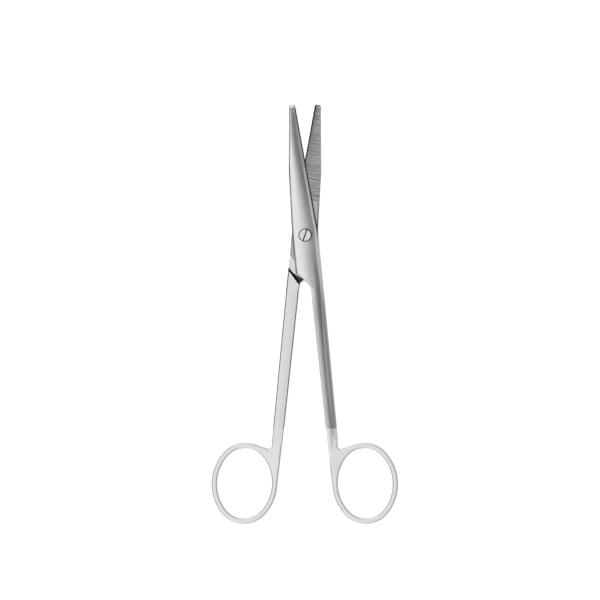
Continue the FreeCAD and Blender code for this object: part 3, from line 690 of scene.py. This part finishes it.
def grind_line_tree(material):
    """Short lines in a row up the blade, dropped onto it and swept."""
    tree = bpy.data.node_groups.new("grind_lines", "GeometryNodeTree")
    for label, kind in (
            ("Geometry", "NodeSocketGeometry"), ("Blade", "NodeSocketObject"),
            ("Start", "NodeSocketVector"), ("Along", "NodeSocketVector"),
            ("Outward", "NodeSocketVector"), ("Turn", "NodeSocketFloat"),
            ("Count", "NodeSocketInt"), ("Reach", "NodeSocketFloat"),
            ("Thickness", "NodeSocketFloat"), ("Slant", "NodeSocketFloat"),
            ("Seed", "NodeSocketInt")):
        tree.interface.new_socket(label, in_out="INPUT", socket_type=kind)
    tree.interface.new_socket("Geometry", in_out="OUTPUT",
                              socket_type="NodeSocketGeometry")
    given = add(tree, "NodeGroupInput").outputs
    result = add(tree, "NodeGroupOutput")

    def random(limits, seed_shift):
        low, high = limits
        node = add(tree, "FunctionNodeRandomValue", data_type="FLOAT")
        join(tree, (low, node.inputs[2]), (high, node.inputs[3]),
             (maths(tree, "ADD", given["Seed"], float(seed_shift)),
              node.inputs["Seed"]))
        return node.outputs[1]

    def scaled(vector, amount):
        node = add(tree, "ShaderNodeVectorMath", operation="SCALE")
        join(tree, (vector, node.inputs[0]), (amount, node.inputs["Scale"]))
        return node.outputs[0]

    row = add(tree, "GeometryNodeMeshLine", mode="OFFSET")
    spread = add(tree, "GeometryNodeSetPosition")
    jitter = random(PLACE_VARIES, 1)
    stroke = add(tree, "GeometryNodeCurvePrimitiveLine")
    fine = add(tree, "GeometryNodeResampleCurve", mode="COUNT")
    tilt = add(tree, "ShaderNodeCombineXYZ")
    place = add(tree, "GeometryNodeInstanceOnPoints")
    real = add(tree, "GeometryNodeRealizeInstances")
    join(tree,
         (given["Count"], row.inputs["Count"]),
         (given["Start"], row.inputs["Start Location"]),
         (given["Along"], row.inputs["Offset"]),
         (row.outputs[0], spread.inputs["Geometry"]),
         (scaled(given["Along"], jitter), spread.inputs["Offset"]),
         ((-LINE_HALF, 0.0, 0.0), stroke.inputs["Start"]),
         ((LINE_HALF, 0.0, 0.0), stroke.inputs["End"]),
         (stroke.outputs[0], fine.inputs["Curve"]),
         (LINE_STEPS, fine.inputs["Count"]),
         (maths(tree, "ADD", given["Turn"],
                maths(tree, "MULTIPLY", given["Slant"],
                      random(SLANT_VARIES, 2))),
          tilt.inputs["Z"]),
         (spread.outputs[0], place.inputs["Points"]),
         (fine.outputs[0], place.inputs["Instance"]),
         (tilt.outputs[0], place.inputs["Rotation"]),
         (place.outputs[0], real.inputs[0]))

    here = add(tree, "GeometryNodeInputPosition")
    raised = add(tree, "ShaderNodeVectorMath", operation="ADD")
    blade = add(tree, "GeometryNodeObjectInfo", transform_space="ORIGINAL")
    ray = add(tree, "GeometryNodeRaycast")
    missed = add(tree, "FunctionNodeBooleanMath", operation="NOT")
    thick = add(tree, "GeometryNodeFieldOnDomain", domain="CURVE")
    half = maths(tree, "MULTIPLY", given["Thickness"], thick.outputs[0])
    sunk = add(tree, "ShaderNodeVectorMath", operation="SUBTRACT")
    join(tree,
         (random(THICK_VARIES, 3), thick.inputs[0]),
         (here.outputs[0], raised.inputs[0]),
         (scaled(given["Outward"], given["Reach"]), raised.inputs[1]),
         (given["Blade"], blade.inputs["Object"]),
         (blade.outputs["Geometry"], ray.inputs["Target Geometry"]),
         (raised.outputs[0], ray.inputs["Source Position"]),
         (scaled(given["Outward"], -1.0), ray.inputs["Ray Direction"]),
         (maths(tree, "MULTIPLY", given["Reach"], 2.0),
          ray.inputs["Ray Length"]),
         (ray.outputs["Is Hit"], missed.inputs[0]),
         (ray.outputs["Hit Position"], sunk.inputs[0]),
         (scaled(given["Outward"], maths(tree, "MULTIPLY", half, SUNK)),
          sunk.inputs[1]))

    # Whether a point missed the blade is stored before it moves, because
    # the ray would give another answer from its new place.
    off = add(tree, "GeometryNodeStoreNamedAttribute", data_type="BOOLEAN",
              domain="POINT")
    drop = add(tree, "GeometryNodeSetPosition")
    mark = add(tree, "GeometryNodeInputNamedAttribute", data_type="BOOLEAN")
    trim = add(tree, "GeometryNodeDeleteGeometry", domain="POINT")
    profile = add(tree, "GeometryNodeCurvePrimitiveCircle", mode="RADIUS")
    sweep = add(tree, "GeometryNodeCurveToMesh")
    join(tree,
         (real.outputs[0], off.inputs["Geometry"]),
         ("off_blade", off.inputs["Name"]),
         (missed.outputs[0], off.inputs["Value"]),
         (off.outputs[0], drop.inputs["Geometry"]),
         (ray.outputs["Is Hit"], drop.inputs["Selection"]),
         (sunk.outputs[0], drop.inputs["Position"]),
         (drop.outputs[0], trim.inputs["Geometry"]),
         ("off_blade", mark.inputs["Name"]),
         (mark.outputs["Attribute"], trim.inputs["Selection"]),
         (LINE_SIDES, profile.inputs["Resolution"]),
         (1.0, profile.inputs["Radius"]),
         (trim.outputs[0], sweep.inputs["Curve"]),
         (profile.outputs[0], sweep.inputs["Profile Curve"]),
         (half, sweep.inputs["Scale"]),
         (True, sweep.inputs["Fill Caps"]))
    whole = add(tree, "GeometryNodeRealizeInstances")
    coat = add(tree, "GeometryNodeSetMaterial")
    join(tree,
         (sweep.outputs[0], whole.inputs[0]),
         (whole.outputs[0], coat.inputs["Geometry"]),
         (material, coat.inputs["Material"]),
         (coat.outputs[0], result.inputs[0]))
    return tree


grind_steel = steel("grind_line_steel", 0.12, 0.45, (ALONG, ACROSS, ALONG),
                    contrast=0.6)
GRIND_LINES = grind_line_tree(grind_steel)
print("tree", GRIND_LINES.name, "with", len(GRIND_LINES.nodes), "nodes")

# %% [markdown]
# The tree runs once for each half, with that half's own directions, and its
# result is kept as a plain mesh that rides on the half.

# %% Lay the grind lines
# Millimetres and degrees, in the forging's frame.
LINE_PITCH = 0.62
LINE_THICKNESS = 0.15
LINE_SLANT = -5.0
LINES_START, LINES_SPAN = 14.5, 37.6
RAY_REACH = 0.4


def lay_grind_lines(arm, blade, seed):
    """The grind lines of a half, as a plain mesh."""
    name = f"{arm}_grind_lines"
    piece = bpy.data.objects.new(name, bpy.data.meshes.new(name))
    bpy.context.scene.collection.objects.link(piece)
    modifier = piece.modifiers.new("lines", "NODES")
    modifier.node_group = GRIND_LINES
    start, along = from_forging(arm, [(0.0, LINES_START * MM, 0.0),
                                      (0.0, LINE_PITCH * MM, 0.0)])
    values = {
        "Blade": blade,
        "Start": (start + SCREW).tolist(),
        "Along": along.tolist(),
        "Outward": from_forging(arm, [(0.0, 0.0, -1.0)])[0].tolist(),
        "Turn": math.atan2(along[1], along[0]) - math.pi / 2,
        "Count": int(LINES_SPAN / LINE_PITCH),
        "Reach": RAY_REACH * MM,
        "Thickness": LINE_THICKNESS * MM,
        "Slant": math.radians(LINE_SLANT),
        "Seed": seed,
    }
    for item in GRIND_LINES.interface.items_tree:
        if item.in_out == "INPUT" and item.name in values:
            modifier[item.identifier] = values[item.name]
    graph = bpy.context.evaluated_depsgraph_get()
    piece.data = bpy.data.meshes.new_from_object(piece.evaluated_get(graph))
    piece.modifiers.clear()
    print(name, len(piece.data.polygons), "faces")
    return piece


front_lines = lay_grind_lines("front", front, 3)
rear_lines = lay_grind_lines("rear", rear, 8)

# %% [markdown]
# ## What rides on which body
# The grind lines ride on the half they were ground into. Each smooth copy
# takes the place of its CAD node, and the screw is fast in the rear half.

# %% Bodies
for piece, body, slot_name in ((front_lines, "front_half", "front_steel"),
                               (rear_lines, "rear_half", "rear_steel")):
    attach(piece, body)
for piece, body, node, slot_name in (
        (front, "front_half", "front_arm", "front_steel"),
        (rear, "rear_half", "rear_arm", "rear_steel"),
        (screw, "rear_half", "pivot_screw", "screw_steel")):
    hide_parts(node)
    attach(piece, body)
print("pieces:", ", ".join(piece.name for piece in (
    front, rear, screw, front_lines, rear_lines)))

# %% [markdown]
# ## View
# The photograph's greys are matched without any film curve.

# %% View settings
bpy.context.scene.view_settings.view_transform = "Standard"
